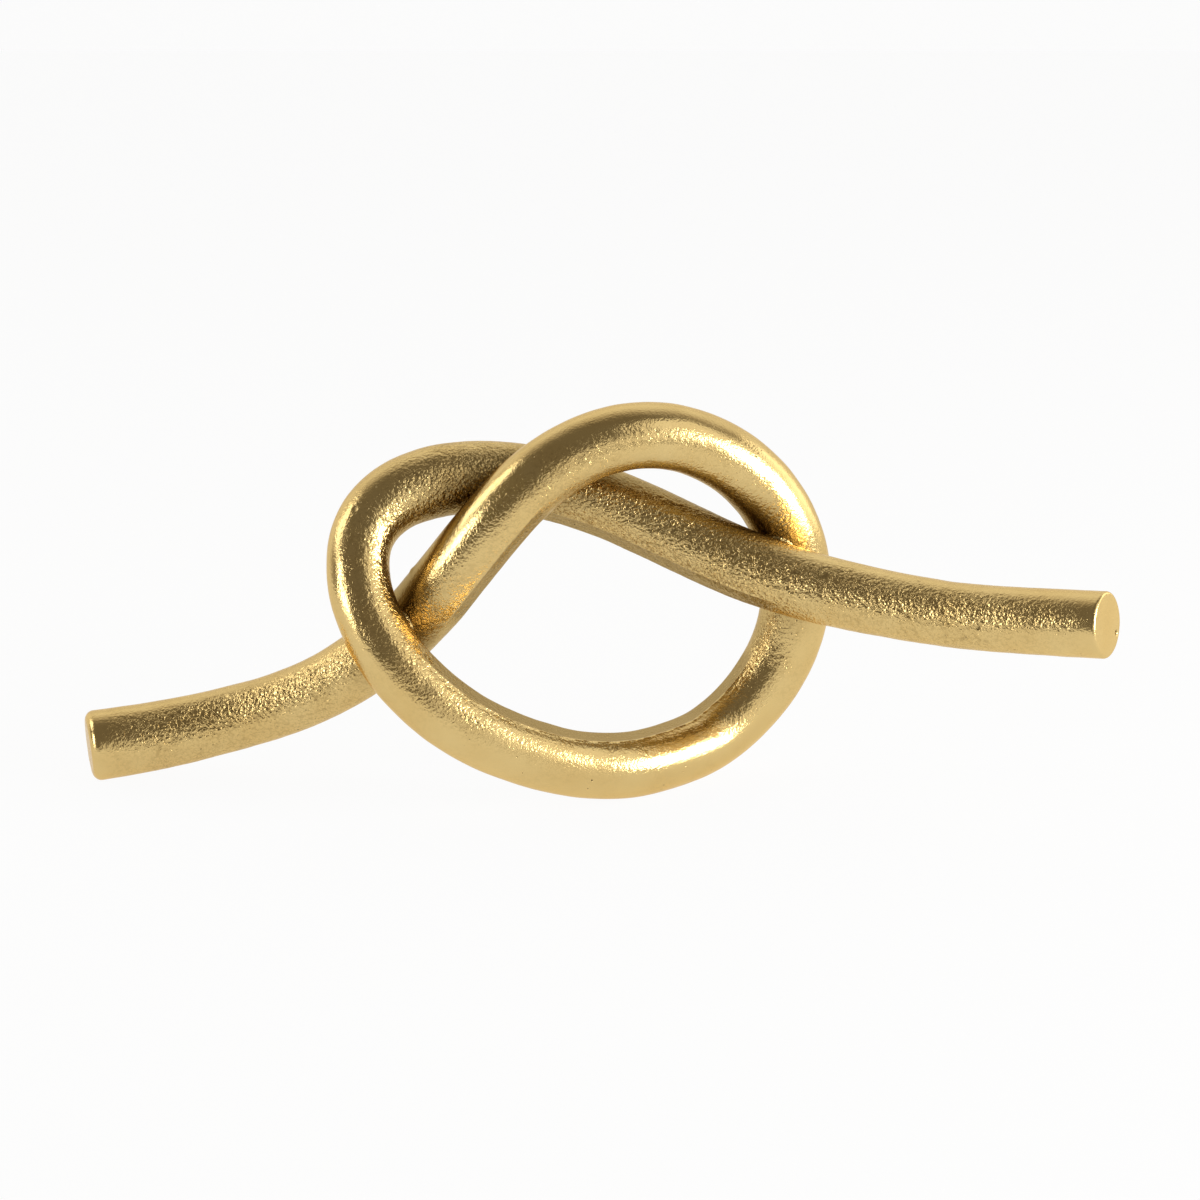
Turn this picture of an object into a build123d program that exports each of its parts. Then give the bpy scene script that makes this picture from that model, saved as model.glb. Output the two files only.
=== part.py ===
from build123d import *
import os
from math import radians, tan

# A cast metal knot: one thick round rod in an open overhand knot.
# X runs from the left tail to the right tail, Y away from the viewer, Z up.
# The origin is on the ground, under the middle of the loop's resting stretch.

# The rod
rod_diameter = 23.0
end_diameter = 24.4
end_edge_radius = 1.8

# Flats ground where it stands, the tail's measured before its edge is softened
loop_flat_depth = 0.5
tail_flat_depth = 0.8

# The box of the corners that the rod's centreline is drawn from
knot_length = 342.2
knot_depth = 78.4
knot_height = 113.7

# Each bend takes this share of the shorter of its two runs, and each tail
# swells to its end over this share of its last straight stretch.
bend_share = 0.45
flare_share = 0.9

# Butt joints, one under each crossing, with a dowel pin and a weld round it
pin_diameter = 8.0
pin_length = 24.0
pin_clearance = 0.05
pin_end_clearance = 0.5
pin_chamfer = 0.8
joint_weld_depth = 1.0

# Welds that tie two strands where they cross
crossing_gap = 0.25
crossing_weld_waist = 13.0
crossing_weld_flare = 18.0

# Overrun of a cutting tool past the face that it cuts
overcut = 1.0

# Corners of the centreline, from the left end to the right end. Each is a
# share of the knot's length from the left, of its depth from the front, and of
# its height from the resting loop. The rod crosses itself, or rests on the
# ground, on the runs that join one stretch to the next.

left_tail_shares = [
    (0.000, 0.799, 0.000),
    (0.072, 0.865, 0.022),
    (0.140, 0.878, 0.071),
    (0.200, 0.823, 0.136),
    (0.255, 0.759, 0.228),
    (0.305, 0.692, 0.351),
]
rise_shares = [
    (0.345, 0.628, 0.490),
    (0.376, 0.586, 0.620),
    (0.409, 0.562, 0.755),
]
arch_shares = [
    (0.448, 0.573, 0.884),
    (0.493, 0.619, 0.965),
    (0.538, 0.677, 1.000),
    (0.583, 0.743, 0.989),
    (0.624, 0.806, 0.937),
    (0.660, 0.864, 0.854),
    (0.691, 0.918, 0.734),
]
loop_right_shares = [
    (0.711, 0.969, 0.571),
    (0.712, 0.999, 0.399),
    (0.697, 1.000, 0.242),
    (0.666, 0.952, 0.106),
    (0.625, 0.841, 0.017),
    (0.584, 0.685, 0.000),
]
loop_left_shares = [
    (0.541, 0.544, 0.000),
    (0.491, 0.457, 0.024),
    (0.442, 0.385, 0.080),
    (0.394, 0.341, 0.152),
    (0.351, 0.325, 0.247),
    (0.311, 0.353, 0.372),
]
small_loop_shares = [
    (0.283, 0.435, 0.517),
    (0.275, 0.526, 0.640),
    (0.283, 0.615, 0.737),
    (0.308, 0.702, 0.805),
    (0.344, 0.768, 0.839),
    (0.389, 0.830, 0.847),
]
middle_shares = [
    (0.450, 0.880, 0.825),
    (0.518, 0.880, 0.761),
    (0.582, 0.831, 0.679),
    (0.645, 0.749, 0.604),
]
right_tail_shares = [
    (0.706, 0.649, 0.556),
    (0.762, 0.539, 0.531),
    (0.818, 0.423, 0.520),
    (0.881, 0.277, 0.519),
    (1.000, 0.000, 0.560),
]

rod_radius = rod_diameter / 2
end_radius = end_diameter / 2
strand_distance = rod_diameter + crossing_gap

# The runs between the stretches, each named by what the rod does there and
# numbered by the corner that it starts from
stretches = [left_tail_shares, rise_shares, arch_shares, loop_right_shares,
             loop_left_shares, small_loop_shares, middle_shares, right_tail_shares]
joining_runs = [sum(map(len, stretches[:count])) - 1 for count in range(1, len(stretches))]
left_under, top_over, right_under, resting, left_over, top_under, right_over = joining_runs


def placed_corners():
    """All corners of the centreline, with the origin under the resting loop."""
    shares = [share for stretch in stretches for share in stretch]
    corners = [Vector(x * knot_length, y * knot_depth, z * knot_height) for x, y, z in shares]
    foot = (corners[resting] + corners[resting + 1]) / 2
    rest_height = Vector(0, 0, rod_radius - loop_flat_depth)
    corners = [corner - foot + rest_height for corner in corners]
    left_end = corners[0]
    corners[0] = Vector(left_end.X, left_end.Y, end_radius - tail_flat_depth)
    return corners


def crossing_normal(corners, over, under):
    """Direction square to both runs of a crossing, from the under to the over strand."""
    over_way = corners[over + 1] - corners[over]
    under_way = corners[under + 1] - corners[under]
    normal = over_way.cross(under_way).normalized()
    return -normal if normal.Y > 0 else normal


def seat_over_strand(corners, over, under):
    """Moves the run that passes over until the two strands all but touch."""
    normal = crossing_normal(corners, over, under)
    distance = (corners[over] - corners[under]).dot(normal)
    for index in (over, over + 1):
        corners[index] = corners[index] + normal * (strand_distance - distance)


route = placed_corners()
seat_over_strand(route, left_over, left_under)
seat_over_strand(route, top_over, top_under)
seat_over_strand(route, right_over, right_under)


def run_length(index):
    return (route[index + 1] - route[index]).length


def bend_tangent(index):
    """Length that the bend at a corner takes up on each of its runs."""
    return bend_share * min(run_length(index - 1), run_length(index))


def bend_radius(index):
    turn = (route[index] - route[index - 1]).get_angle(route[index + 1] - route[index])
    return bend_tangent(index) / tan(radians(turn / 2))


def joint_plane(under):
    """Plane across the rod in the middle of a run, facing along the route."""
    middle = (route[under] + route[under + 1]) / 2
    return Plane(origin=middle, z_dir=route[under + 1] - route[under])


left_joint = joint_plane(left_under)
top_joint = joint_plane(top_under)
right_joint = joint_plane(right_under)


def bent_rod(start, first, last, end):
    """Round rod from one point to another, round the corners between them."""
    radii = [bend_radius(index) for index in range(first, last + 1)]
    path = FilletPolyline(start, *route[first:last + 1], end, radius=radii)
    section = Plane(origin=path @ 0, z_dir=path % 0) * Circle(rod_radius)
    return sweep(section, path=path)


def flare_start(end_index, next_index):
    """Point on a tail's last straight stretch where the rod begins to swell."""
    run = route[next_index] - route[end_index]
    straight = run.length - bend_tangent(next_index)
    return route[end_index] + run.normalized() * (flare_share * straight)


def flared_end(start, tip):
    """End of a tail: it swells in one long curve to a flat face with a soft edge."""
    length = (tip - start).length
    with BuildSketch(Plane.XZ) as profile:
        with BuildLine():
            Polyline((end_radius, length), (0, length), (0, 0), (rod_radius, 0))
            TangentArc((rod_radius, 0), (end_radius, length), tangent=(0, 1))
        make_face()
        outer_corner = profile.vertices().sort_by(Axis.X)[-1]
        fillet(outer_corner, radius=end_edge_radius)
    end = revolve(profile.sketch, axis=Axis.Z)
    return Plane(origin=start, z_dir=tip - start) * end


def joint_groove(joint):
    """Cut for the weld: a V round the rod, a little past its surface."""
    reach = joint_weld_depth + overcut
    with BuildSketch(Plane.XZ) as profile:
        with BuildLine():
            Polyline((rod_radius - joint_weld_depth, 0), (rod_radius + overcut, reach),
                     (rod_radius + overcut, -reach), close=True)
        make_face()
    return joint * revolve(profile.sketch, axis=Axis.Z)


def joint_weld(joint):
    """Weld round a butt joint, filling the V and dressed flush with the rod."""
    with BuildSketch(Plane.XZ) as profile:
        with BuildLine():
            Polyline((rod_radius - joint_weld_depth, 0), (rod_radius, joint_weld_depth),
                     (rod_radius, -joint_weld_depth), close=True)
        make_face()
    return joint * revolve(profile.sketch, axis=Axis.Z)


def joint_pin(joint):
    """Plain dowel with chamfered ends, half in each section."""
    pin = Cylinder(pin_diameter / 2, pin_length)
    return joint * chamfer(pin.edges().filter_by(GeomType.CIRCLE), length=pin_chamfer)


def joint_bore(joint):
    """Room for the pin in both sections, with a small gap round it and at its ends."""
    return joint * Cylinder(pin_diameter / 2 + pin_clearance, pin_length + 2 * pin_end_clearance)


def prepared(section, *joints):
    """Section with the bore and the V of each joint at its ends."""
    for joint in joints:
        section = section - joint_bore(joint) - joint_groove(joint)
    return section


def ground_flat(section):
    """Grinds a section flat where it rests on the ground."""
    return split(section, bisect_by=Plane.XY, keep=Keep.TOP)


def left_tail():
    start = flare_start(0, 1)
    tail = bent_rod(start, 1, left_under, left_joint.origin)
    tail = tail + flared_end(start, route[0])
    return ground_flat(prepared(tail, left_joint))


def rising_arch():
    arch = bent_rod(left_joint.origin, left_under + 1, right_under, right_joint.origin)
    return prepared(arch, left_joint, right_joint)


def lower_loop():
    loop = bent_rod(right_joint.origin, right_under + 1, top_under, top_joint.origin)
    return ground_flat(prepared(loop, right_joint, top_joint))


def right_tail():
    last = len(route) - 1
    start = flare_start(last, last - 1)
    tail = bent_rod(top_joint.origin, top_under + 1, last - 1, start)
    tail = tail + flared_end(start, route[last])
    return prepared(tail, top_joint)


def crossing_place(over, under):
    """Point halfway between two strands, where they are closest."""
    normal = crossing_normal(route, over, under)
    under_way = route[under + 1] - route[under]
    over_way = route[over + 1] - route[over]
    across = over_way.cross(normal)
    along = (route[over] - route[under]).dot(across) / under_way.dot(across)
    return route[under] + under_way * along + normal * (strand_distance / 2), normal


def crossing_weld(over, under, over_rod, under_rod):
    """Waisted plug of weld between two strands, hollowed by both of them."""
    place, normal = crossing_place(over, under)
    waist, flare, half_height = crossing_weld_waist / 2, crossing_weld_flare / 2, rod_radius / 2
    with BuildSketch(Plane.XZ) as profile:
        with BuildLine():
            Polyline((flare, half_height), (0, half_height), (0, -half_height), (flare, -half_height))
            ThreePointArc((flare, -half_height), (waist, 0), (flare, half_height))
        make_face()
    weld = Plane(origin=place, z_dir=normal) * revolve(profile.sketch, axis=Axis.Z)
    return weld - over_rod - under_rod


os.makedirs("parts", exist_ok=True)

sections = {
    "left_tail": left_tail(),
    "rising_arch": rising_arch(),
    "lower_loop": lower_loop(),
    "right_tail": right_tail(),
}
joints = {"left": left_joint, "top": top_joint, "right": right_joint}
crossings = {
    "left": (left_over, left_under, "lower_loop", "left_tail", "rising_arch"),
    "top": (top_over, top_under, "rising_arch", "lower_loop", "right_tail"),
    "right": (right_over, right_under, "right_tail", "rising_arch", "lower_loop"),
}

pieces = dict(sections)
for side, joint in joints.items():
    pieces[side + "_joint_pin"] = joint_pin(joint)
    pieces[side + "_joint_weld"] = joint_weld(joint)
for side, (over, under, over_name, before_name, after_name) in crossings.items():
    under_rod = sections[before_name] + sections[after_name] + pieces[side + "_joint_weld"]
    pieces[side + "_crossing_weld"] = crossing_weld(over, under, sections[over_name], under_rod)

for name, piece in pieces.items():
    export_step(piece, os.path.join("parts", name + ".step"))
    print(name, round(piece.volume))
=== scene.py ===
from bisect import bisect_left
from math import atan2, cos, exp, pi, radians, sin

import bmesh
import bpy
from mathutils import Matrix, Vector
from mathutils.kdtree import KDTree


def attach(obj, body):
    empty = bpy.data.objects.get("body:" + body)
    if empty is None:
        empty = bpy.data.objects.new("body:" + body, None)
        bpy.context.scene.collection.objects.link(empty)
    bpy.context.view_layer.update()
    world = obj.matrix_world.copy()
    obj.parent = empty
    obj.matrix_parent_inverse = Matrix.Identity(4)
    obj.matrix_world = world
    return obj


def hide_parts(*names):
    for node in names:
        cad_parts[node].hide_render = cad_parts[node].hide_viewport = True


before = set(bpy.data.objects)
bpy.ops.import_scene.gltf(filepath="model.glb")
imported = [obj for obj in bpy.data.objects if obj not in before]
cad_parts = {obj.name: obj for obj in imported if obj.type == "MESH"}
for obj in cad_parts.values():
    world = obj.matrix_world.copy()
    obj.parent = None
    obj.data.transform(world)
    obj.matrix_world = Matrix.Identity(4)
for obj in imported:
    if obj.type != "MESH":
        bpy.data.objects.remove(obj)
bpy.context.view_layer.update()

# A cast brass rod tied in an open overhand knot, in metres. X runs from the left
# tail to the right tail, Y away from the viewer, Z up. The rod is four sand
# castings, butt-welded under the crossings, and the crossings are welded too.

MM = 0.001


# Sizes

ROD_RADIUS = 11.5 * MM
LEFT_END_EDGE_RADIUS = 3.2 * MM
RIGHT_END_EDGE_RADIUS = 1.1 * MM
WELD_GROOVE = 1.0 * MM
CROSSING_PLUG_RADIUS = 6.5 * MM

# Corners of the rod's centreline from the left end to the right end: x, y and z
# in metres, then the girth there as a share of the rod's, and how much of the
# rough sand-cast skin is left there, from 0 where it is dressed smooth to 1.
ROUTE = [
    # left tail
    (-0.19249, 0.01446, 0.01140, 1.060, 0.10),
    (-0.16785, 0.01964, 0.01350, 1.028, 0.90),
    (-0.14458, 0.02066, 0.01907, 0.975, 0.95),
    (-0.12405, 0.01635, 0.02646, 0.954, 0.95),
    (-0.10523, 0.01133, 0.03692, 0.968, 0.90),
    (-0.08812, 0.00608, 0.05091, 0.990, 0.75),
    # rise
    (-0.07443, 0.00106, 0.06671, 1.016, 0.50),
    (-0.06382, -0.00223, 0.08149, 1.015, 0.36),
    (-0.05245, -0.00455, 0.09680, 1.007, 0.36),
    # arch
    (-0.03911, -0.00369, 0.11147, 0.997, 0.36),
    (-0.02378, 0.00035, 0.12072, 0.983, 0.32),
    (-0.00838, 0.00490, 0.12470, 0.977, 0.26),
    (0.00702, 0.01007, 0.12345, 0.973, 0.24),
    (0.02105, 0.01501, 0.11754, 0.974, 0.24),
    (0.03336, 0.01956, 0.10810, 0.995, 0.26),
    (0.04397, 0.02379, 0.09446, 1.010, 0.32),
    # right side of the lower loop
    (0.05082, 0.02750, 0.07601, 1.026, 0.38),
    (0.05116, 0.02964, 0.05652, 1.036, 0.42),
    (0.04603, 0.02972, 0.03867, 1.023, 0.40),
    (0.03542, 0.02617, 0.02314, 0.996, 0.32),
    (0.02139, 0.01776, 0.01293, 0.981, 0.24),
    (0.00736, 0.00553, 0.01100, 0.975, 0.16),
    # left side of the lower loop
    (-0.00736, -0.00553, 0.01100, 0.978, 0.16),
    (-0.02447, -0.01235, 0.01373, 0.981, 0.20),
    (-0.04124, -0.01799, 0.02010, 0.990, 0.26),
    (-0.05766, -0.02144, 0.02828, 1.006, 0.34),
    (-0.07238, -0.02270, 0.03908, 1.010, 0.36),
    (-0.08613, -0.02064, 0.05331, 0.981, 0.38),
    # small loop
    (-0.09571, -0.01421, 0.06980, 0.937, 0.36),
    (-0.09838, -0.00694, 0.08377, 0.915, 0.38),
    (-0.09564, 0.00004, 0.09480, 0.948, 0.42),
    (-0.08709, 0.00686, 0.10253, 1.013, 0.55),
    (-0.07477, 0.01203, 0.10639, 1.064, 0.80),
    (-0.05937, 0.01690, 0.10730, 1.073, 0.90),
    # middle strand
    (-0.03850, 0.02082, 0.10480, 1.053, 0.85),
    (-0.01523, 0.02082, 0.09753, 1.039, 0.80),
    (0.00667, 0.01697, 0.08820, 1.046, 0.80),
    (0.02797, 0.00999, 0.07946, 1.046, 0.90),
    # right tail
    (0.04884, 0.00215, 0.07400, 1.027, 0.90),
    (0.06827, -0.00592, 0.07137, 0.991, 0.90),
    (0.08743, -0.01501, 0.07012, 0.964, 0.95),
    (0.10899, -0.02646, 0.07001, 0.948, 0.95),
    (0.14971, -0.04818, 0.07467, 0.972, 0.10),
]
# The corner before each butt joint, which lies in the middle of the run after it
LEFT_JOINT, RIGHT_JOINT, TOP_JOINT = 5, 15, 33
# The corner before the run that passes over, and before the one that passes under
CROSSINGS = {"left_crossing_weld": (27, 5), "top_crossing_weld": (8, 33), "right_crossing_weld": (37, 15)}
# The tails end, as far as the finish goes, between these corners
LEFT_TAIL_FADE, RIGHT_TAIL_FADE = (4, 6), (37, 39)
# Corners between which the mould's seam was left standing
SEAM_RUNS = [(6, 9), (18, 27), (34, 38)]

# The two halves of the mould met along the inside of the loops. The seam leans from there
# towards the front half, and past it, on the side away from the front, the rod is ground flat.
MOULD_FRONT = Vector((0, -0.956, 0.292))
LOOP_MIDDLE = Vector((-0.0165, 0.0, 0.057))
SEAM_LEAN = radians(42)
SEAM_HEIGHT = 0.25 * MM
SEAM_WIDTH = 0.5 * MM
SEAM_FACET = radians(36)

# Gas pits, dents and beads left by the casting: place, radius and depth, a bead's being negative
MARKS = [
    ((0.1534, -0.0423, 0.0702), 0.6 * MM, 1.0 * MM),
    ((0.1082, -0.0391, 0.0706), 0.7 * MM, 0.6 * MM),
    ((0.0895, -0.0195, 0.0813), 0.5 * MM, 0.3 * MM),
    ((0.0976, -0.0324, 0.0658), 0.5 * MM, 0.3 * MM),
    ((0.0987, -0.0329, 0.0650), 0.4 * MM, 0.3 * MM),
    ((0.1033, -0.0352, 0.0653), 0.7 * MM, 0.4 * MM),
    ((0.1042, -0.0357, 0.0662), 0.4 * MM, 0.3 * MM),
    ((0.1048, -0.0360, 0.0648), 0.4 * MM, 0.2 * MM),
    ((0.1103, -0.0389, 0.0657), 0.6 * MM, 0.4 * MM),
    ((0.1112, -0.0393, 0.0647), 0.4 * MM, 0.2 * MM),
    ((0.1205, -0.0438, 0.0654), 0.4 * MM, 0.2 * MM),
    ((0.0023, -0.0027, 0.1284), 0.5 * MM, 0.18 * MM),
    ((0.0003, -0.0031, 0.1292), 0.4 * MM, 0.10 * MM),
    ((-0.0955, -0.0242, 0.0750), 0.7 * MM, 0.4 * MM),
    ((-0.0985, -0.0071, 0.1027), 0.8 * MM, 0.4 * MM),
    ((-0.0237, -0.0114, 0.1198), 0.5 * MM, 0.2 * MM),
    ((-0.1637, 0.0081, 0.0135), 2.6 * MM, 0.3 * MM),
    ((-0.1814, 0.0051, 0.0102), 0.6 * MM, 0.18 * MM),
    ((-0.1794, 0.0059, 0.0092), 0.5 * MM, 0.14 * MM),
    ((-0.1774, 0.0064, 0.0090), 0.5 * MM, 0.14 * MM),
    ((-0.0797, -0.0007, 0.0791), 1.5 * MM, -0.5 * MM),
]
DEEPEST_MARK = 1.5 * MM
HIGHEST_MARK = 0.6 * MM
# A mark is followed out to this many of its radii. Dirt reaches wider in it than its depth does,
# and a shallow mark holds less than a deep one, by this power.
MARK_REACH = 2.5
DIRT_SPREAD, DIRT_POWER = 2, 1.5

# Lengths over which one state of the surface passes into the next
SEAM_FADE = 8 * MM
END_DRESSED_FROM, END_DRESSED_TO = 1 * MM, 9 * MM

# Another strand this near puts painted shade on a spot and keeps the polishing wheel off it, which leaves it
# a little rougher; it is looked for from this far out. A strand counts as another one if it lies this far
# away along the rod.
STRAND_SHADE_REACH = 32 * MM
STRAND_SHADE_PROBE = 8 * MM
OTHER_STRAND = 40 * MM

# Shares of painted shade past a standing seam, and inside a loop without one, where the wheel also left the
# brass a little rougher. Each begins over a width at the seam, and both end between two angles round the rod.
DULL_SHADE_PAST_SEAM, DULL_SHADE_IN_LOOP = 0.8, 0.5
PAST_SEAM_BEGINS = (0, 1 * MM)
IN_LOOP_BEGINS = (-3 * MM, 6 * MM)
DULL_SHADE_ENDS = (1.2, 2.0)

# Shares of the cast skin that the polish took off the outside of the loops, the top of the tails
# and their underside. On the loops it is this number less the skin itself, so thin skin lost the
# most. The rest say where the polish begins and is full, as cosines to the way it faced.
LOOP_POLISH, TAIL_POLISH, UNDER_TAIL_POLISH = 1.15, 0.75, 0.4
POLISHED_FROM, LATER_ON_TAILS, POLISH_FADE = 0.2, 0.35, 0.3
UNDER_TAIL_FADE = (0.15, 0.45)

# Relief that is real geometry: its width and height
SWELL_WIDTH, SWELL_HEIGHT = 11 * MM, 0.24 * MM
SKIN_WIDTH, SKIN_HEIGHT = 1.7 * MM, 0.16 * MM

# The mesh of the rod: its rings, the cuts across a rounded edge, the rings on an end face, how
# near to a face a vertex counts as on it, and the least share that goes into a vertex group
RING_SIDES = 144
RING_STEP = 0.5 * MM
EDGE_CUTS = 8
FACE_RINGS, FACE_RING_STEP = 15, 0.5 * MM
ON_FACE = 1e-6
LEAST_SHARE = 0.002
SMOOTH_BELOW = radians(40)

# The crossing fillets: the two cores, a little thinner than the rod, and the plug between them, the voxels
# and smoothing that make them one body, and the skin and painted shade that they carry
CORE_REACH, CORE_INSET = 21 * MM, 0.3 * MM
CORE_STEP, CORE_SIDES, PLUG_SIDES = 1 * MM, 72, 64
FILLET_VOXEL = 0.5 * MM
FILLET_SMOOTHINGS = 40
FILLET_SKIN, FILLET_SHADE = 0.7, 0.75


# Small helpers

def only(*pieces):
    """Selects these pieces and nothing else."""
    bpy.ops.object.select_all(action="DESELECT")
    for piece in pieces:
        piece.select_set(True)
    bpy.context.view_layer.objects.active = pieces[0]


def pick(piece, kind, wanted):
    """In edit mode, selects the vertices, edges or faces whose corners are all as wanted."""
    mesh = bmesh.from_edit_mesh(piece.data)
    for part in (mesh.faces, mesh.edges, mesh.verts):
        for item in part:
            item.select = False
    mesh.select_mode = {kind}
    for item in {"VERT": mesh.verts, "EDGE": mesh.edges, "FACE": mesh.faces}[kind]:
        corners = [item.co] if kind == "VERT" else [vert.co for vert in item.verts]
        if wanted(*corners):
            item.select = True
    mesh.select_flush_mode()
    bmesh.update_edit_mesh(piece.data)


def apply_modifier(piece, kind, **settings):
    only(piece)
    bpy.ops.object.modifier_add(type=kind)
    modifier = piece.modifiers[-1]
    for name, value in settings.items():
        setattr(modifier, name, value)
    bpy.ops.object.modifier_apply(modifier=modifier.name)


def soft_step(value, low, high):
    """0 below low, 1 above high and a smooth rise between."""
    share = min(max((value - low) / (high - low), 0.0), 1.0)
    return share * share * (3 - 2 * share)


def colour(code):
    """An sRGB hex colour as the linear red, green, blue and alpha that nodes take."""
    values = [int(code[i:i + 2], 16) / 255 for i in (1, 3, 5)]
    return [v / 12.92 if v <= 0.04045 else ((v + 0.055) / 1.055) ** 2.4 for v in values] + [1.0]


def add_node(tree, kind, settings=None, links=None):
    """Adds a node. Settings are its options or its sockets' values; links come from other sockets."""
    made = tree.nodes.new(kind)
    for name, value in (settings or {}).items():
        if isinstance(name, str) and hasattr(made, name):
            setattr(made, name, value)
        else:
            made.inputs[name].default_value = value
    for name, source in (links or {}).items():
        tree.links.new(source, made.inputs[name])
    return made


# Camera and studio

ELEVATION = radians(17)
DISTANCE = 1.6
FRAME_WIDTH = 0.408
AIM = Vector((-0.01653, 0.01059, 0.06527))

camera_data = bpy.data.cameras.new("camera")
camera_data.sensor_width = 36
camera_data.lens = camera_data.sensor_width * DISTANCE / FRAME_WIDTH
camera = bpy.data.objects.new("camera", camera_data)
bpy.context.scene.collection.objects.link(camera)
camera.location = AIM + DISTANCE * Vector((0, -cos(ELEVATION), sin(ELEVATION)))
camera.rotation_euler = (pi / 2 - ELEVATION, 0, 0)
bpy.context.scene.camera = camera
bpy.context.scene.view_settings.view_transform = "Standard"


def softbox(name, azimuth, distance, width, height, bottom, radiance):
    """Lit diffuser that stands upright and faces the knot. Azimuth 0 is the camera's side, 90 the right."""
    data = bpy.data.lights.new(name, "AREA")
    data.shape = "RECTANGLE"
    data.size, data.size_y = width, height
    data.energy = radiance * pi * width * height
    lamp = bpy.data.objects.new(name, data)
    bpy.context.scene.collection.objects.link(lamp)
    way = Vector((sin(radians(azimuth)), -cos(radians(azimuth)), 0))
    lamp.location = way * distance + Vector((0, 0, bottom + height / 2))
    lamp.rotation_euler = (pi / 2, 0, radians(azimuth))
    lamp.visible_camera = False


# How bright the white boards look in reflections and to the camera, as a share of full white
MIRRORED_WHITE = 0.66
SEEN_WHITE = 0.94
# How bright the room is in front of the knot and behind it
ROOM_FRONT, ROOM_BACK = 0.18, 0.97

# Each lamp: azimuth, distance, width, height, height of its lower edge, and radiance. The right
# softbox is brightest low down, so a small one stands in front of the big one.
softbox("right_softbox", 64, 1.12, 1.25, 1.90, 0.02, 0.85)
softbox("right_softbox_middle", 73, 1.1, 0.60, 0.46, 0.02, 12.0)
softbox("right_board", 112, 1.0, 0.60, 0.60, 0.02, 1.2)
softbox("left_softbox", -71, 1.1, 0.38, 0.46, 0.03, 5.0)
softbox("left_board", -100, 1.0, 0.50, 0.70, 0.35, 2.1)
softbox("front_board", 20, 1.1, 0.60, 0.40, 0.02, 0.7)


def white_surface():
    """Matt white studio board. To the camera and in reflections it shows as white, and it keeps shadows."""
    material = bpy.data.materials.new("studio_white")
    material.use_nodes = True
    tree = material.node_tree
    tree.nodes.clear()
    board = add_node(tree, "ShaderNodeBsdfDiffuse", {"Color": colour("#F2F2F0")})
    glow = add_node(tree, "ShaderNodeEmission", {"Color": colour("#FFFFFF"), "Strength": 1.0})
    path = add_node(tree, "ShaderNodeLightPath")
    mirrored = add_node(tree, "ShaderNodeMath", {"operation": "MAXIMUM"},
                        {0: path.outputs["Is Glossy Ray"], 1: path.outputs["Is Transmission Ray"]})
    mirrored = add_node(tree, "ShaderNodeMath", {"operation": "MULTIPLY", 1: MIRRORED_WHITE},
                        {0: mirrored.outputs[0]})
    share = add_node(tree, "ShaderNodeMath", {"operation": "MULTIPLY_ADD", 1: SEEN_WHITE},
                     {0: path.outputs["Is Camera Ray"], 2: mirrored.outputs[0]})
    mix = add_node(tree, "ShaderNodeMixShader", {},
                   {0: share.outputs[0], 1: board.outputs[0], 2: glow.outputs[0]})
    add_node(tree, "ShaderNodeOutputMaterial", {}, {"Surface": mix.outputs[0]})
    return material


studio_white = white_surface()


def board(name, size, place, turn):
    bpy.ops.object.select_all(action="DESELECT")
    bpy.ops.mesh.primitive_plane_add(size=1, location=place, rotation=turn)
    sheet = bpy.context.object
    sheet.name = name
    sheet.scale = (size[0], size[1], 1)
    sheet.data.materials.append(studio_white)


board("floor", (2.4, 1.9), (0, 0.45, 0), (0, 0, 0))
board("backdrop", (2.0, 1.0), (0, 1.4, 0.5), (pi / 2, 0, 0))


def studio_world():
    """Dim room in front and overhead, paler behind, and white where the camera sees it."""
    world = bpy.data.worlds.new("studio")
    bpy.context.scene.world = world
    world.use_nodes = True
    tree = world.node_tree
    tree.nodes.clear()
    place = add_node(tree, "ShaderNodeTexCoord")
    way = add_node(tree, "ShaderNodeSeparateXYZ", {}, {0: place.outputs["Generated"]})
    back = add_node(tree, "ShaderNodeMapRange",
                    {"interpolation_type": "SMOOTHSTEP", "From Min": 0.0, "From Max": 0.75,
                     "To Min": ROOM_FRONT, "To Max": ROOM_BACK}, {"Value": way.outputs["Y"]})
    tint = add_node(tree, "ShaderNodeMix",
                    {"data_type": "RGBA", 6: colour("#FFF0D8"), 7: colour("#FFFFFF")}, {0: back.outputs[0]})
    path = add_node(tree, "ShaderNodeLightPath")
    room = add_node(tree, "ShaderNodeBackground", {}, {"Color": tint.outputs[2], "Strength": back.outputs[0]})
    seen = add_node(tree, "ShaderNodeBackground", {"Color": colour("#FFFFFF"), "Strength": 1.0})
    mix = add_node(tree, "ShaderNodeMixShader", {},
                   {0: path.outputs["Is Camera Ray"], 1: room.outputs[0], 2: seen.outputs[0]})
    add_node(tree, "ShaderNodeOutputWorld", {}, {"Surface": mix.outputs[0]})


studio_world()


# Materials

# The brass's patterns: how far apart or how wide, and how deep. The lumps that the sand left are
# drawn coarser than the real ones, so that they show from the camera.
POLISH_PATCH = 9 * MM
LUMP_WIDTH, LUMP_HEIGHT = 1.3 * MM, 0.36 * MM
LUMP_WANDER, LUMP_BEND = 1.6 * MM, 1.2 * MM
CREASE_SPACING, CREASE_DEPTH = 1.9 * MM, 0.07 * MM
SAND_WIDTH, SAND_DEPTH = 0.6 * MM, 0.12 * MM
SPECK_SPACING, SPECK_DEPTH = 2.4 * MM, 0.15 * MM
SPECK_CLUSTER = 14 * MM
TONE_WIDTH = 18 * MM
# The sheltered brown is painted shade, near other strands and past the seam
PATINA, PAINTED_SHADE_BROWN, PIT_DIRT = "#7A6132", "#7C653C", "#2A1B0A"


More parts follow.
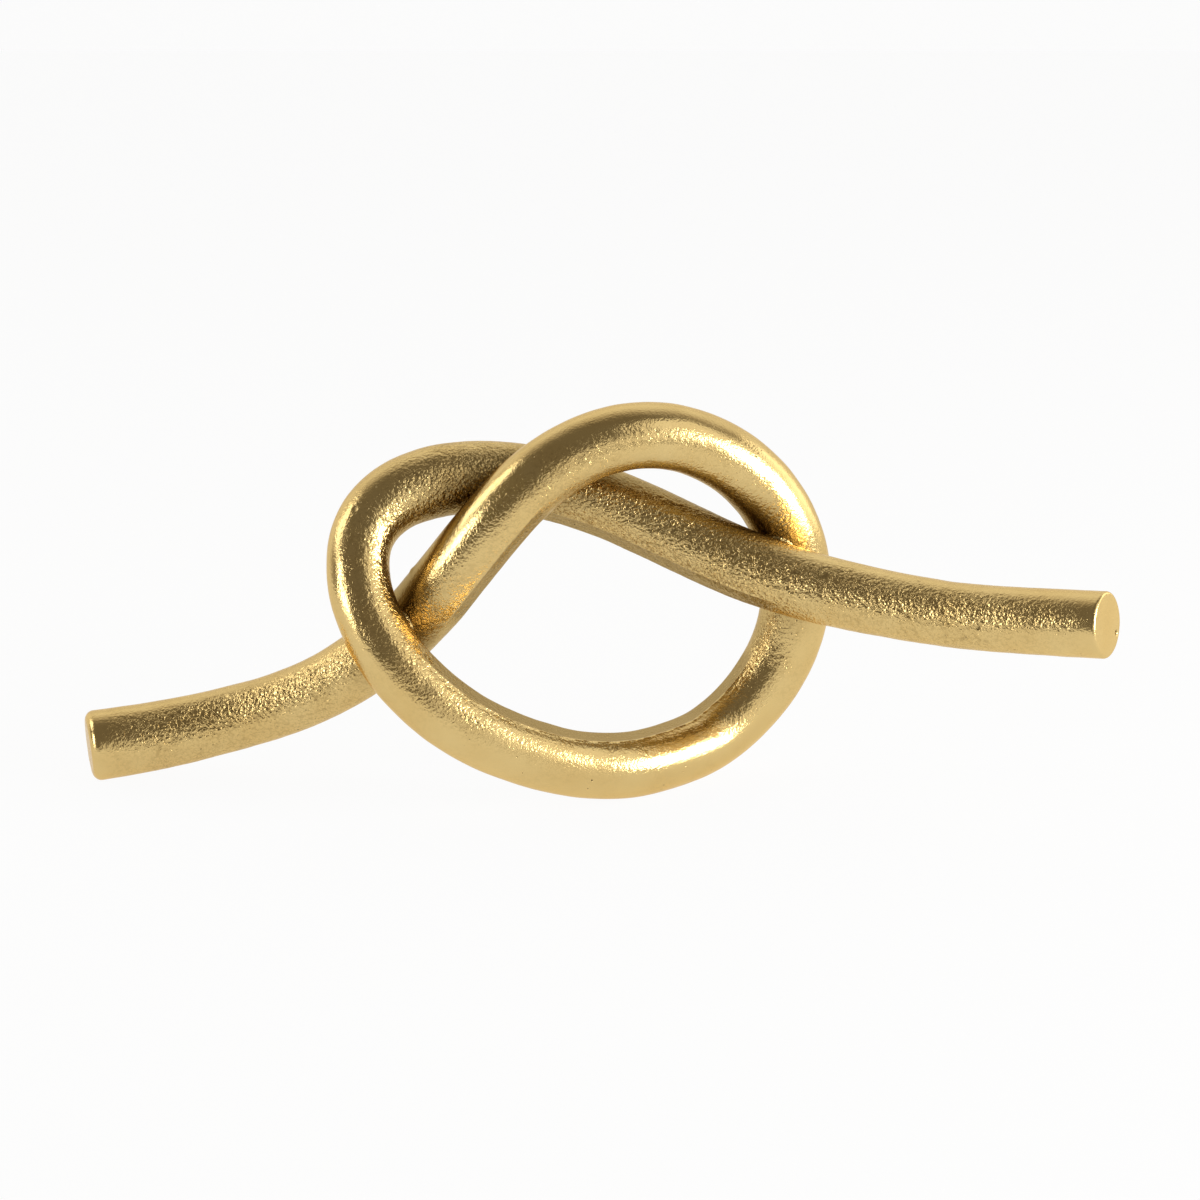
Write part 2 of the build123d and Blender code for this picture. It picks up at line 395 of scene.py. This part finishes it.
def skin_left(tree, place):
    """Share of the cast skin that the hand polish left. It took the skin down in patches."""
    skin = add_node(tree, "ShaderNodeAttribute", {"attribute_name": "cast_skin"}).outputs["Fac"]
    patches = add_node(tree, "ShaderNodeTexNoise", {"Scale": 1 / POLISH_PATCH, "Detail": 2.0},
                       {"Vector": place}).outputs["Fac"]
    uneven = add_node(tree, "ShaderNodeMath", {"operation": "MULTIPLY_ADD", 1: 0.7, 2: -0.35},
                      {0: patches}).outputs[0]
    return add_node(tree, "ShaderNodeMath", {"operation": "ADD", "use_clamp": True},
                    {0: skin, 1: uneven}).outputs[0]


def skin_patterns(tree, place):
    """Distance from the middle of a lump, worm-like creases, and the marks of single sand grains."""
    wander = add_node(tree, "ShaderNodeTexNoise", {"Scale": 1 / LUMP_WANDER, "Detail": 1.0},
                      {"Vector": place}).outputs["Color"]
    bent = add_node(tree, "ShaderNodeVectorMath", {"operation": "MULTIPLY_ADD", 1: (LUMP_BEND,) * 3},
                    {0: wander, 2: place}).outputs[0]
    from_lump = add_node(tree, "ShaderNodeTexVoronoi", {"Scale": 1 / LUMP_WIDTH},
                         {"Vector": bent}).outputs["Distance"]
    worms = add_node(tree, "ShaderNodeTexNoise",
                     {"Scale": 1 / CREASE_SPACING, "Detail": 1.0, "Roughness": 0.5, "Distortion": 1.0},
                     {"Vector": place}).outputs["Fac"]
    from_crease = add_node(tree, "ShaderNodeMath", {"operation": "SUBTRACT", 1: 0.5}, {0: worms})
    from_crease = add_node(tree, "ShaderNodeMath", {"operation": "ABSOLUTE"}, {0: from_crease.outputs[0]})
    crease = add_node(tree, "ShaderNodeMapRange",
                      {"interpolation_type": "SMOOTHSTEP", "From Min": 0.0, "From Max": 0.07},
                      {"Value": from_crease.outputs[0]}).outputs[0]
    sand = add_node(tree, "ShaderNodeTexNoise", {"Scale": 1 / SAND_WIDTH, "Detail": 1.0},
                    {"Vector": place}).outputs["Fac"]
    return from_lump, crease, sand


def gas_specks(tree, place):
    """Dark specks in clusters, where gas left pin-sized pits, and the dirt in the larger marks."""
    pitted = add_node(tree, "ShaderNodeAttribute", {"attribute_name": "pitted"}).outputs["Fac"]
    cells = add_node(tree, "ShaderNodeTexVoronoi", {"Scale": 1 / SPECK_SPACING},
                     {"Vector": place}).outputs["Distance"]
    speck = add_node(tree, "ShaderNodeMapRange", {"From Min": 0.13, "From Max": 0.08},
                     {"Value": cells}).outputs[0]
    cluster = add_node(tree, "ShaderNodeTexNoise", {"Scale": 1 / SPECK_CLUSTER, "Detail": 2.0},
                       {"Vector": place}).outputs["Fac"]
    cluster = add_node(tree, "ShaderNodeMapRange", {"From Min": 0.57, "From Max": 0.70},
                       {"Value": cluster}).outputs[0]
    speck = add_node(tree, "ShaderNodeMath", {"operation": "MULTIPLY"}, {0: speck, 1: cluster}).outputs[0]
    return add_node(tree, "ShaderNodeMath", {"operation": "MAXIMUM"}, {0: speck, 1: pitted}).outputs[0]


def brass_colour(tree, place, tones, left, shade_and_dullness, speck, from_lump, sand):
    """Bright brass on the heights and brown patina in the hollows, with brown painted shade where another
    strand is near, on the crossing fillets and past the seam.
    """
    light, deep = tones
    tone = add_node(tree, "ShaderNodeTexNoise", {"Scale": 1 / TONE_WIDTH, "Detail": 3.0},
                    {"Vector": place}).outputs["Fac"]
    warm = add_node(tree, "ShaderNodeMix", {"data_type": "RGBA", 6: colour(light), 7: colour(deep)},
                    {0: tone}).outputs[2]
    low = add_node(tree, "ShaderNodeMapRange",
                   {"From Min": 0.50, "From Max": 0.85, "To Min": 0.0, "To Max": 0.45},
                   {"Value": from_lump}).outputs[0]
    pores = add_node(tree, "ShaderNodeMapRange",
                     {"From Min": 0.45, "From Max": 0.32, "To Min": 0.0, "To Max": 0.5},
                     {"Value": sand}).outputs[0]
    low = add_node(tree, "ShaderNodeMath", {"operation": "MAXIMUM"}, {0: low, 1: pores}).outputs[0]
    low = add_node(tree, "ShaderNodeMath", {"operation": "MULTIPLY"}, {0: low, 1: left}).outputs[0]
    patina_and_shade = add_node(tree, "ShaderNodeMix", {"data_type": "RGBA", 7: colour(PATINA)},
                       {0: low, 6: warm}).outputs[2]
    # Painted shade: brown where another strand is near, on the crossing fillets and past the seam
    shade_share = add_node(tree, "ShaderNodeMath", {"operation": "MULTIPLY", 1: 0.75}, {0: shade_and_dullness}).outputs[0]
    patina_and_shade = add_node(tree, "ShaderNodeMix", {"data_type": "RGBA", 7: colour(PAINTED_SHADE_BROWN)},
                       {0: shade_share, 6: patina_and_shade}).outputs[2]
    return add_node(tree, "ShaderNodeMix", {"data_type": "RGBA", 7: colour(PIT_DIRT)},
                    {0: speck, 6: patina_and_shade}).outputs[2]


def brass_sheen(tree, polish, left, shade_and_dullness, speck):
    """Satin from the tumbling, a little clearer on the lumps that the wheel could not level."""
    worn = add_node(tree, "ShaderNodeMapRange", {"To Min": polish + 0.015, "To Max": polish},
                    {"Value": left}).outputs[0]
    rough = add_node(tree, "ShaderNodeMath", {"operation": "MULTIPLY_ADD", 1: 0.05},
                     {0: shade_and_dullness, 2: worn}).outputs[0]
    return add_node(tree, "ShaderNodeMath", {"operation": "MULTIPLY_ADD", 1: 0.5},
                    {0: speck, 2: rough}).outputs[0]


def brass_relief(tree, left, speck, from_lump, crease, sand):
    """Fine relief over the modelled one: sand marks, then lumps, creases and specks."""
    depth = add_node(tree, "ShaderNodeMapRange", {"From Min": 0.10, "To Min": 0.10, "To Max": 1.0},
                     {"Value": left}).outputs[0]
    fine_depth = add_node(tree, "ShaderNodeMapRange", {"To Min": 0.5, "To Max": 1.0},
                          {"Value": left}).outputs[0]
    fine = add_node(tree, "ShaderNodeBump", {"Distance": SAND_DEPTH},
                    {"Strength": fine_depth, "Height": sand})
    lumps = add_node(tree, "ShaderNodeBump", {"Distance": LUMP_HEIGHT, "invert": True},
                     {"Strength": depth, "Height": from_lump, "Normal": fine.outputs[0]})
    creases = add_node(tree, "ShaderNodeBump", {"Distance": CREASE_DEPTH},
                       {"Strength": depth, "Height": crease, "Normal": lumps.outputs[0]})
    specks = add_node(tree, "ShaderNodeBump", {"Distance": SPECK_DEPTH, "Strength": 1.0, "invert": True},
                      {"Height": speck, "Normal": creases.outputs[0]})
    return specks.outputs[0]


def brass(name, tones, polish):
    """Sand-cast brass, tumbled, hand polished and antiqued: warm and satin, with a fine lumpy skin
    whose hollows keep the brown patina that the polish did not reach, and specks where gas left pits.
    The tones are a light and a deep one, and the polish is the roughness that it left."""
    material = bpy.data.materials.new(name)
    material.use_nodes = True
    tree = material.node_tree
    tree.nodes.clear()
    place = add_node(tree, "ShaderNodeTexCoord").outputs["Object"]
    # Share of painted shade, which also makes the brass a little rougher
    shade_and_dullness = add_node(tree, "ShaderNodeAttribute", {"attribute_name": "painted_shade_and_dullness"}).outputs["Fac"]
    left = skin_left(tree, place)
    from_lump, crease, sand = skin_patterns(tree, place)
    speck = gas_specks(tree, place)
    final = brass_colour(tree, place, tones, left, shade_and_dullness, speck, from_lump, sand)
    rough = brass_sheen(tree, polish, left, shade_and_dullness, speck)
    normal = brass_relief(tree, left, speck, from_lump, crease, sand)
    metal = add_node(tree, "ShaderNodeBsdfPrincipled", {"Metallic": 1.0, "Specular Tint": colour("#FFF1D6")},
                     {"Base Color": final, "Roughness": rough, "Normal": normal})
    add_node(tree, "ShaderNodeOutputMaterial", {}, {"Surface": metal.outputs[0]})
    return material


sand_cast_brass = brass("sand_cast_brass", ("#E7CD90", "#DBBA77"), 0.17)
# Brass weld, filed flush and textured to match: a little darker and duller than the casting
filed_weld_brass = brass("filed_weld_brass", ("#E4CA8C", "#D8B773"), 0.18)


def ground_steel():
    """Centreless-ground steel of the dowel pins: bright grey and smooth, a little uneven in tone."""
    material = bpy.data.materials.new("ground_steel")
    material.use_nodes = True
    tree = material.node_tree
    tree.nodes.clear()
    place = add_node(tree, "ShaderNodeTexCoord").outputs["Object"]
    mottle = add_node(tree, "ShaderNodeTexNoise", {"Scale": 1 / (0.4 * MM), "Detail": 3.0},
                      {"Vector": place}).outputs["Fac"]
    tint = add_node(tree, "ShaderNodeMix",
                    {"data_type": "RGBA", 6: colour("#C2C2C4"), 7: colour("#AEAEB1")}, {0: mottle}).outputs[2]
    rough = add_node(tree, "ShaderNodeMapRange", {"To Min": 0.22, "To Max": 0.34},
                     {"Value": mottle}).outputs[0]
    metal = add_node(tree, "ShaderNodeBsdfPrincipled", {"Metallic": 1.0},
                     {"Base Color": tint, "Roughness": rough})
    add_node(tree, "ShaderNodeOutputMaterial", {}, {"Surface": metal.outputs[0]})
    return material


pin_steel = ground_steel()


# The rod's line

def route_curve():
    """The rod's centreline, with its girth at each corner as the curve's radius."""
    bpy.ops.object.select_all(action="DESELECT")
    data = bpy.data.curves.new("rod_line", "CURVE")
    data.dimensions = "3D"
    data.resolution_u = 64
    data.use_radius = True
    data.use_deform_bounds = False
    data.twist_mode = "MINIMUM"
    spline = data.splines.new("NURBS")
    spline.points.add(len(ROUTE) - 1)
    for point, (*place, girth, _) in zip(spline.points, ROUTE):
        point.co = (*place, 1)
        point.radius = girth
    spline.order_u = 3
    spline.use_endpoint_u = True
    line = bpy.data.objects.new("rod_line", data)
    bpy.context.scene.collection.objects.link(line)
    return line


rod_line = route_curve()
line_mesh = bpy.data.meshes.new_from_object(rod_line)
line_points = [v.co.copy() for v in line_mesh.vertices]
line_stations = [0.0]
for before, after in zip(line_points, line_points[1:]):
    line_stations.append(line_stations[-1] + (after - before).length)
line_tree = KDTree(len(line_points))
for index, point in enumerate(line_points):
    line_tree.insert(point, index)
line_tree.balance()
bpy.data.meshes.remove(line_mesh)
rod_end = line_stations[-1]


def station_near(place):
    """How far along the rod's line a place is."""
    return line_stations[line_tree.find(place)[1]]


def line_at(station):
    """The line's point and direction at a station."""
    index = min(max(bisect_left(line_stations, station), 1), len(line_stations) - 1)
    before, after = line_points[index - 1], line_points[index]
    share = (station - line_stations[index - 1]) / (line_stations[index] - line_stations[index - 1])
    return before.lerp(after, share), (after - before).normalized()


def joint_station(corner):
    middle = (Vector(ROUTE[corner][:3]) + Vector(ROUTE[corner + 1][:3])) / 2
    return station_near(middle)


corner_stations = [station_near(Vector(corner[:3])) for corner in ROUTE]
corner_stations[0], corner_stations[-1] = 0.0, rod_end


def skin_at(station):
    """How much cast skin is left there, between the corners' values. The ends are dressed smooth."""
    low = min(max(bisect_left(corner_stations, station) - 1, 0), len(ROUTE) - 2)
    span = corner_stations[low + 1] - corner_stations[low]
    share = min(max((station - corner_stations[low]) / span, 0.0), 1.0)
    skin = ROUTE[low][4] * (1 - share) + ROUTE[low + 1][4] * share
    return skin * soft_step(min(station, rod_end - station), END_DRESSED_FROM, END_DRESSED_TO)


def tail_share(station):
    """1 on the tails, 0 on the loops."""
    left = 1 - soft_step(station, *(corner_stations[corner] for corner in LEFT_TAIL_FADE))
    right = soft_step(station, *(corner_stations[corner] for corner in RIGHT_TAIL_FADE))
    return max(left, right)


# Rod sections

def straight_rod(name, start, end, radius=ROD_RADIUS, step=RING_STEP, sides=RING_SIDES, edges=(0, 0)):
    """Round bar along X between two stations, with rings of vertices close together. Its rims
    are cut back by the two edge sizes, to a chamfer for a weld or to a round for a tail."""
    bpy.ops.object.select_all(action="DESELECT")
    bpy.ops.mesh.primitive_cylinder_add(vertices=sides, radius=radius, depth=end - start,
                                        location=((start + end) / 2, 0, 0), rotation=(0, pi / 2, 0))
    rod = bpy.context.object
    rod.name = rod.data.name = name
    bpy.ops.object.transform_apply(location=True, rotation=True, scale=True)
    bpy.ops.object.mode_set(mode="EDIT")
    for tip, edge in zip((start, end), edges):
        if edge:
            pick(rod, "EDGE", lambda a, b: abs(a.x - tip) < ON_FACE and abs(b.x - tip) < ON_FACE)
            round_cuts = EDGE_CUTS if edge > WELD_GROOVE else 1
            bpy.ops.mesh.bevel(offset=edge, offset_type="OFFSET", segments=round_cuts, profile=0.5,
                               affect="EDGES")
    cuts = max(round((end - start) / step), 4)
    coarse = round(cuts ** 0.5)
    for count, longest in ((coarse, end - start), (-(-cuts // coarse), (end - start) / coarse)):
        pick(rod, "EDGE", lambda a, b: abs(a.x - b.x) > longest / 2)
        bpy.ops.mesh.subdivide(number_cuts=count - 1)
    return rod


def fill_face(rod, tip):
    """Gives a tail's end face rings of vertices, to carry the skin."""
    pick(rod, "FACE", lambda *corners: all(abs(co.x - tip) < ON_FACE for co in corners))
    for _ in range(FACE_RINGS):
        bpy.ops.mesh.inset(thickness=FACE_RING_STEP)
    bpy.ops.mesh.poke()


def strand_shade_at(place, normal, station):
    """How much painted shade another strand puts on this spot, from 0 to 1. The same share keeps the
    polishing wheel off.
    """
    nearest = STRAND_SHADE_REACH
    for _, index, gap in line_tree.find_range(place + normal * STRAND_SHADE_PROBE, STRAND_SHADE_REACH):
        if abs(line_stations[index] - station) > OTHER_STRAND:
            nearest = min(nearest, gap)
    return min((STRAND_SHADE_REACH - nearest) / (STRAND_SHADE_REACH - ROD_RADIUS), 1.0) ** 2


def seam_share(station):
    """1 where the mould's seam still stands, 0 where it was ground away, as beside the joints."""
    share = 0.0
    for first, last in SEAM_RUNS:
        start, end = corner_stations[first], corner_stations[last]
        begun = soft_step(station, start, start + SEAM_FADE)
        ended = soft_step(station, end - SEAM_FADE, end)
        share = max(share, begun * (1 - ended))
    return share


def seam_sides(station):
    """Directions square to the rod, to the inside of the loop, to the mould's seam and on past it,
    and then how much of a tail this is and how much of the seam is left."""
    place, way = line_at(station)
    tail = tail_share(station)
    inside = (LOOP_MIDDLE - place).normalized() * (1 - tail) + Vector((0, 0, -1)) * tail
    front = (MOULD_FRONT - way * MOULD_FRONT.dot(way)).normalized()
    inside = inside - way * inside.dot(way)
    inside = (inside - front * inside.dot(front)).normalized()
    seam = inside * cos(SEAM_LEAN) + front * sin(SEAM_LEAN)
    past = inside * sin(SEAM_LEAN) - front * cos(SEAM_LEAN)
    return inside, seam, past, tail, seam_share(station)


def marks_at(place):
    """Depth of the marks at a place, how high a bead stands there, and how dirty it is."""
    depth = height = dirt = 0.0
    for middle, radius, mark_depth in MARKS:
        gap = (place - Vector(middle)).length / radius
        if gap < MARK_REACH:
            fall = exp(-gap * gap)
            depth = max(depth, mark_depth * fall)
            height = max(height, -mark_depth * fall)
            steepness = min(max(mark_depth / radius, 0), 1)
            dirt = max(dirt, min(DIRT_SPREAD * fall, 1) * steepness ** DIRT_POWER)
    return depth, height, dirt


def seam_shape(out, seam, past, seam_left):
    """The seam's ridge, which stands on both sides of the rod, the flat beside the inner one, and how
    far round the rod from that one a vertex lies."""
    from_seam = atan2(out.dot(past), out.dot(seam)) * ROD_RADIUS
    from_back_seam = atan2(-out.dot(past), -out.dot(seam)) * ROD_RADIUS
    nearness = max(exp(-(gap / SEAM_WIDTH) ** 2) for gap in (from_seam, from_back_seam))
    ridge = nearness * SEAM_HEIGHT * seam_left
    past_seam = from_seam / ROD_RADIUS
    facet = 0.0
    if 0 < past_seam < SEAM_FACET:
        facet = ROD_RADIUS * (1 - cos(SEAM_FACET / 2) / cos(past_seam - SEAM_FACET / 2)) * seam_left
    return ridge, facet, from_seam


def dull_shade_beside_seam(from_seam, seam_left, tail):
    """Painted shade on the loop's inner side past the seam, or past where the seam was, which the wheel also
    left a little rougher.
    """
    past_seam = DULL_SHADE_PAST_SEAM * soft_step(from_seam, *PAST_SEAM_BEGINS) * seam_left
    in_loop = DULL_SHADE_IN_LOOP * soft_step(from_seam, *IN_LOOP_BEGINS) * (1 - seam_left) * (1 - tail)
    return (past_seam + in_loop) * (1 - soft_step(from_seam / ROD_RADIUS, *DULL_SHADE_ENDS))


def skin_after_polish(skin, out, inside, tail):
    """The cast skin left once the outside was polished, more on the loops than on the tails."""
    begins = POLISHED_FROM + LATER_ON_TAILS * tail
    on_outside = soft_step(-out.dot(inside), begins, begins + POLISH_FADE)
    under_tail = soft_step(out.dot(inside), *UNDER_TAIL_FADE) * tail
    polish = on_outside * (TAIL_POLISH * tail + (1 - tail) * (LOOP_POLISH - skin))
    return skin * (1 - polish) * (1 - UNDER_TAIL_POLISH * under_tail)


def shape_attributes(rod, stations):
    """Gives each vertex its share of cast skin, of painted shade and dullness, and of dirt, and how far it is
    raised or sunk.
    """
    mesh = rod.data
    sides = {}
    values = {"cast_skin": [], "painted_shade_and_dullness": [], "pitted": []}
    raised, sunk = [], []
    for vert, station in zip(mesh.vertices, stations):
        if station not in sides:
            sides[station] = (skin_at(station), *seam_sides(station))
        skin, inside, seam, past, tail, seam_left = sides[station]
        out = vert.normal
        ridge, facet, from_seam = seam_shape(out, seam, past, seam_left)
        dull_shade = dull_shade_beside_seam(from_seam, seam_left, tail)
        depth, height, dirt = marks_at(vert.co)
        values["cast_skin"].append(skin_after_polish(skin, out, inside, tail))
        # Painted shade near other strands and past the seam, which also dulls the brass a little
        values["painted_shade_and_dullness"].append(max(strand_shade_at(vert.co, out, station), dull_shade))
        values["pitted"].append(dirt)
        raised.append((ridge + height) / HIGHEST_MARK)
        sunk.append((facet + depth) / DEEPEST_MARK)
    for name, amounts in values.items():
        mesh.attributes.new(name, "FLOAT", "POINT").data.foreach_set("value", amounts)
    for name, amounts in (("cast_skin_depth", values["cast_skin"]), ("raised", raised), ("sunk", sunk)):
        group = rod.vertex_groups.new(name=name)
        for index, amount in enumerate(amounts):
            if amount > LEAST_SHARE:
                group.add([index], min(amount, 1.0), "REPLACE")


def surface_textures():
    swell = bpy.data.textures.new("hand_finish_swell", "CLOUDS")
    swell.noise_scale = SWELL_WIDTH
    swell.noise_depth = 1
    skin = bpy.data.textures.new("cast_skin", "CLOUDS")
    skin.noise_scale = SKIN_WIDTH
    skin.noise_depth = 1
    return swell, skin


hand_finish_swell, cast_skin_relief = surface_textures()


def finish_surface(piece, brass_kind, node):
    """Gives a piece the swells of the hand finish, the cast skin, the marks and its brass, hides the node it
    stands for and hangs the piece under the root body."""
    apply_modifier(piece, "DISPLACE", texture=hand_finish_swell, texture_coords="LOCAL",
                   strength=SWELL_HEIGHT, mid_level=0.5)
    apply_modifier(piece, "DISPLACE", texture=cast_skin_relief, texture_coords="LOCAL",
                   strength=SKIN_HEIGHT, mid_level=0.5, vertex_group="cast_skin_depth")
    apply_modifier(piece, "DISPLACE", strength=HIGHEST_MARK, mid_level=0, vertex_group="raised")
    apply_modifier(piece, "DISPLACE", strength=-DEEPEST_MARK, mid_level=0, vertex_group="sunk")
    piece.data.materials.clear()
    piece.data.materials.append(brass_kind)
    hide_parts(node)
    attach(piece, "root")


def follow_line(piece):
    """Bends a straight piece along the rod's line and returns the station of each vertex."""
    bpy.ops.object.mode_set(mode="OBJECT")
    stations = [vert.co.x for vert in piece.data.vertices]
    apply_modifier(piece, "CURVE", object=rod_line, deform_axis="POS_X")
    return stations


def rod_section(node, start, end, left_edge=WELD_GROOVE, right_edge=WELD_GROOVE, on_ground=False):
    """One casting between two stations, with bevelled butt ends or a tail's softened one, and a flat
    where it rests on the ground."""
    rod = straight_rod(node + "_casting", start, end, edges=(left_edge, right_edge))
    for tip, edge in ((start, left_edge), (end, right_edge)):
        if edge > WELD_GROOVE:
            fill_face(rod, tip)
    stations = follow_line(rod)
    shape_attributes(rod, stations)
    finish_surface(rod, sand_cast_brass, node)
    if on_ground:
        bpy.ops.object.mode_set(mode="EDIT")
        bpy.ops.mesh.select_all(action="SELECT")
        bpy.ops.mesh.bisect(plane_co=(0, 0, 0), plane_no=(0, 0, 1), use_fill=True, clear_inner=True,
                            threshold=1e-7)
        bpy.ops.object.mode_set(mode="OBJECT")
    only(rod)
    bpy.ops.object.shade_smooth_by_angle(angle=SMOOTH_BELOW)


left_joint = joint_station(LEFT_JOINT)
right_joint = joint_station(RIGHT_JOINT)
top_joint = joint_station(TOP_JOINT)
rod_section("left_tail", 0.0, left_joint, left_edge=LEFT_END_EDGE_RADIUS, on_ground=True)
rod_section("rising_arch", left_joint, right_joint)
rod_section("lower_loop", right_joint, top_joint, on_ground=True)
rod_section("right_tail", top_joint, rod_end, right_edge=RIGHT_END_EDGE_RADIUS)


# Welds

def joint_band(node, station):
    """Weld that fills the V between two sections, filed flush with them."""
    band = straight_rod(node + "_band", station - WELD_GROOVE, station + WELD_GROOVE)
    for side in (-1, 1):
        face = station + side * WELD_GROOVE
        pick(band, "FACE", lambda *corners: all(abs(co.x - face) < ON_FACE for co in corners))
        bpy.ops.mesh.inset(thickness=WELD_GROOVE, depth=-WELD_GROOVE)
        bpy.ops.mesh.delete(type="FACE")
    bpy.ops.mesh.select_all(action="SELECT")
    bpy.ops.mesh.remove_doubles(threshold=0.01 * MM)
    stations = follow_line(band)
    shape_attributes(band, stations)
    finish_surface(band, filed_weld_brass, node)
    only(band)
    bpy.ops.object.shade_smooth_by_angle(angle=SMOOTH_BELOW)


joint_band("left_joint_weld", left_joint)
joint_band("right_joint_weld", right_joint)
joint_band("top_joint_weld", top_joint)


def closest_stations(over, under):
    """Where two runs of the line come nearest to each other."""
    runs = []
    for corner in (over, under):
        low, high = corner_stations[corner], corner_stations[corner + 1]
        runs.append([i for i, station in enumerate(line_stations) if low <= station <= high])
    pairs = [(a, b) for a in runs[0] for b in runs[1]]
    nearest = min(pairs, key=lambda pair: (line_points[pair[0]] - line_points[pair[1]]).length)
    return [line_stations[index] for index in nearest]


def crossing_fillet(node, over, under):
    """Weld that runs all round the place where two strands touch and blends one into the other. Both
    strands' cores and a plug between them are made one body, and smoothing it fills the corners."""
    cores = []
    for station in closest_stations(over, under):
        core = straight_rod(node + "_core", station - CORE_REACH, station + CORE_REACH,
                            ROD_RADIUS - CORE_INSET, step=CORE_STEP, sides=CORE_SIDES)
        follow_line(core)
        cores.append((core, line_at(station)[0]))
    (top, top_middle), (bottom, bottom_middle) = cores
    way = top_middle - bottom_middle
    bpy.ops.object.select_all(action="DESELECT")
    bpy.ops.mesh.primitive_cylinder_add(vertices=PLUG_SIDES, radius=CROSSING_PLUG_RADIUS,
                                        depth=way.length, location=(top_middle + bottom_middle) / 2,
                                        rotation=way.to_track_quat("Z", "Y").to_euler())
    plug = bpy.context.object
    bpy.ops.object.transform_apply(location=True, rotation=True, scale=True)
    only(plug, top, bottom)
    bpy.ops.object.join()
    plug.name = plug.data.name = node + "_fillet"
    apply_modifier(plug, "REMESH", mode="VOXEL", voxel_size=FILLET_VOXEL)
    apply_modifier(plug, "SMOOTH", factor=0.5, iterations=FILLET_SMOOTHINGS)
    count = len(plug.data.vertices)
    plug.vertex_groups.clear()
    # The fillets sit between two strands, so they carry a fixed share of painted shade
    for name, amount in (("cast_skin", FILLET_SKIN), ("painted_shade_and_dullness", FILLET_SHADE), ("pitted", 0.0)):
        plug.data.attributes.new(name, "FLOAT", "POINT").data.foreach_set("value", [amount] * count)
    for name, amount in (("cast_skin_depth", FILLET_SKIN), ("raised", 0.0), ("sunk", 0.0)):
        plug.vertex_groups.new(name=name).add(range(count), amount, "REPLACE")
    finish_surface(plug, filed_weld_brass, node)
    only(plug)
    bpy.ops.object.shade_smooth()


for node, (over, under) in CROSSINGS.items():
    crossing_fillet(node, over, under)

for node in ("left_joint_pin", "top_joint_pin", "right_joint_pin"):
    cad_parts[node].data.materials.clear()
    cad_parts[node].data.materials.append(pin_steel)

bpy.data.objects.remove(rod_line)
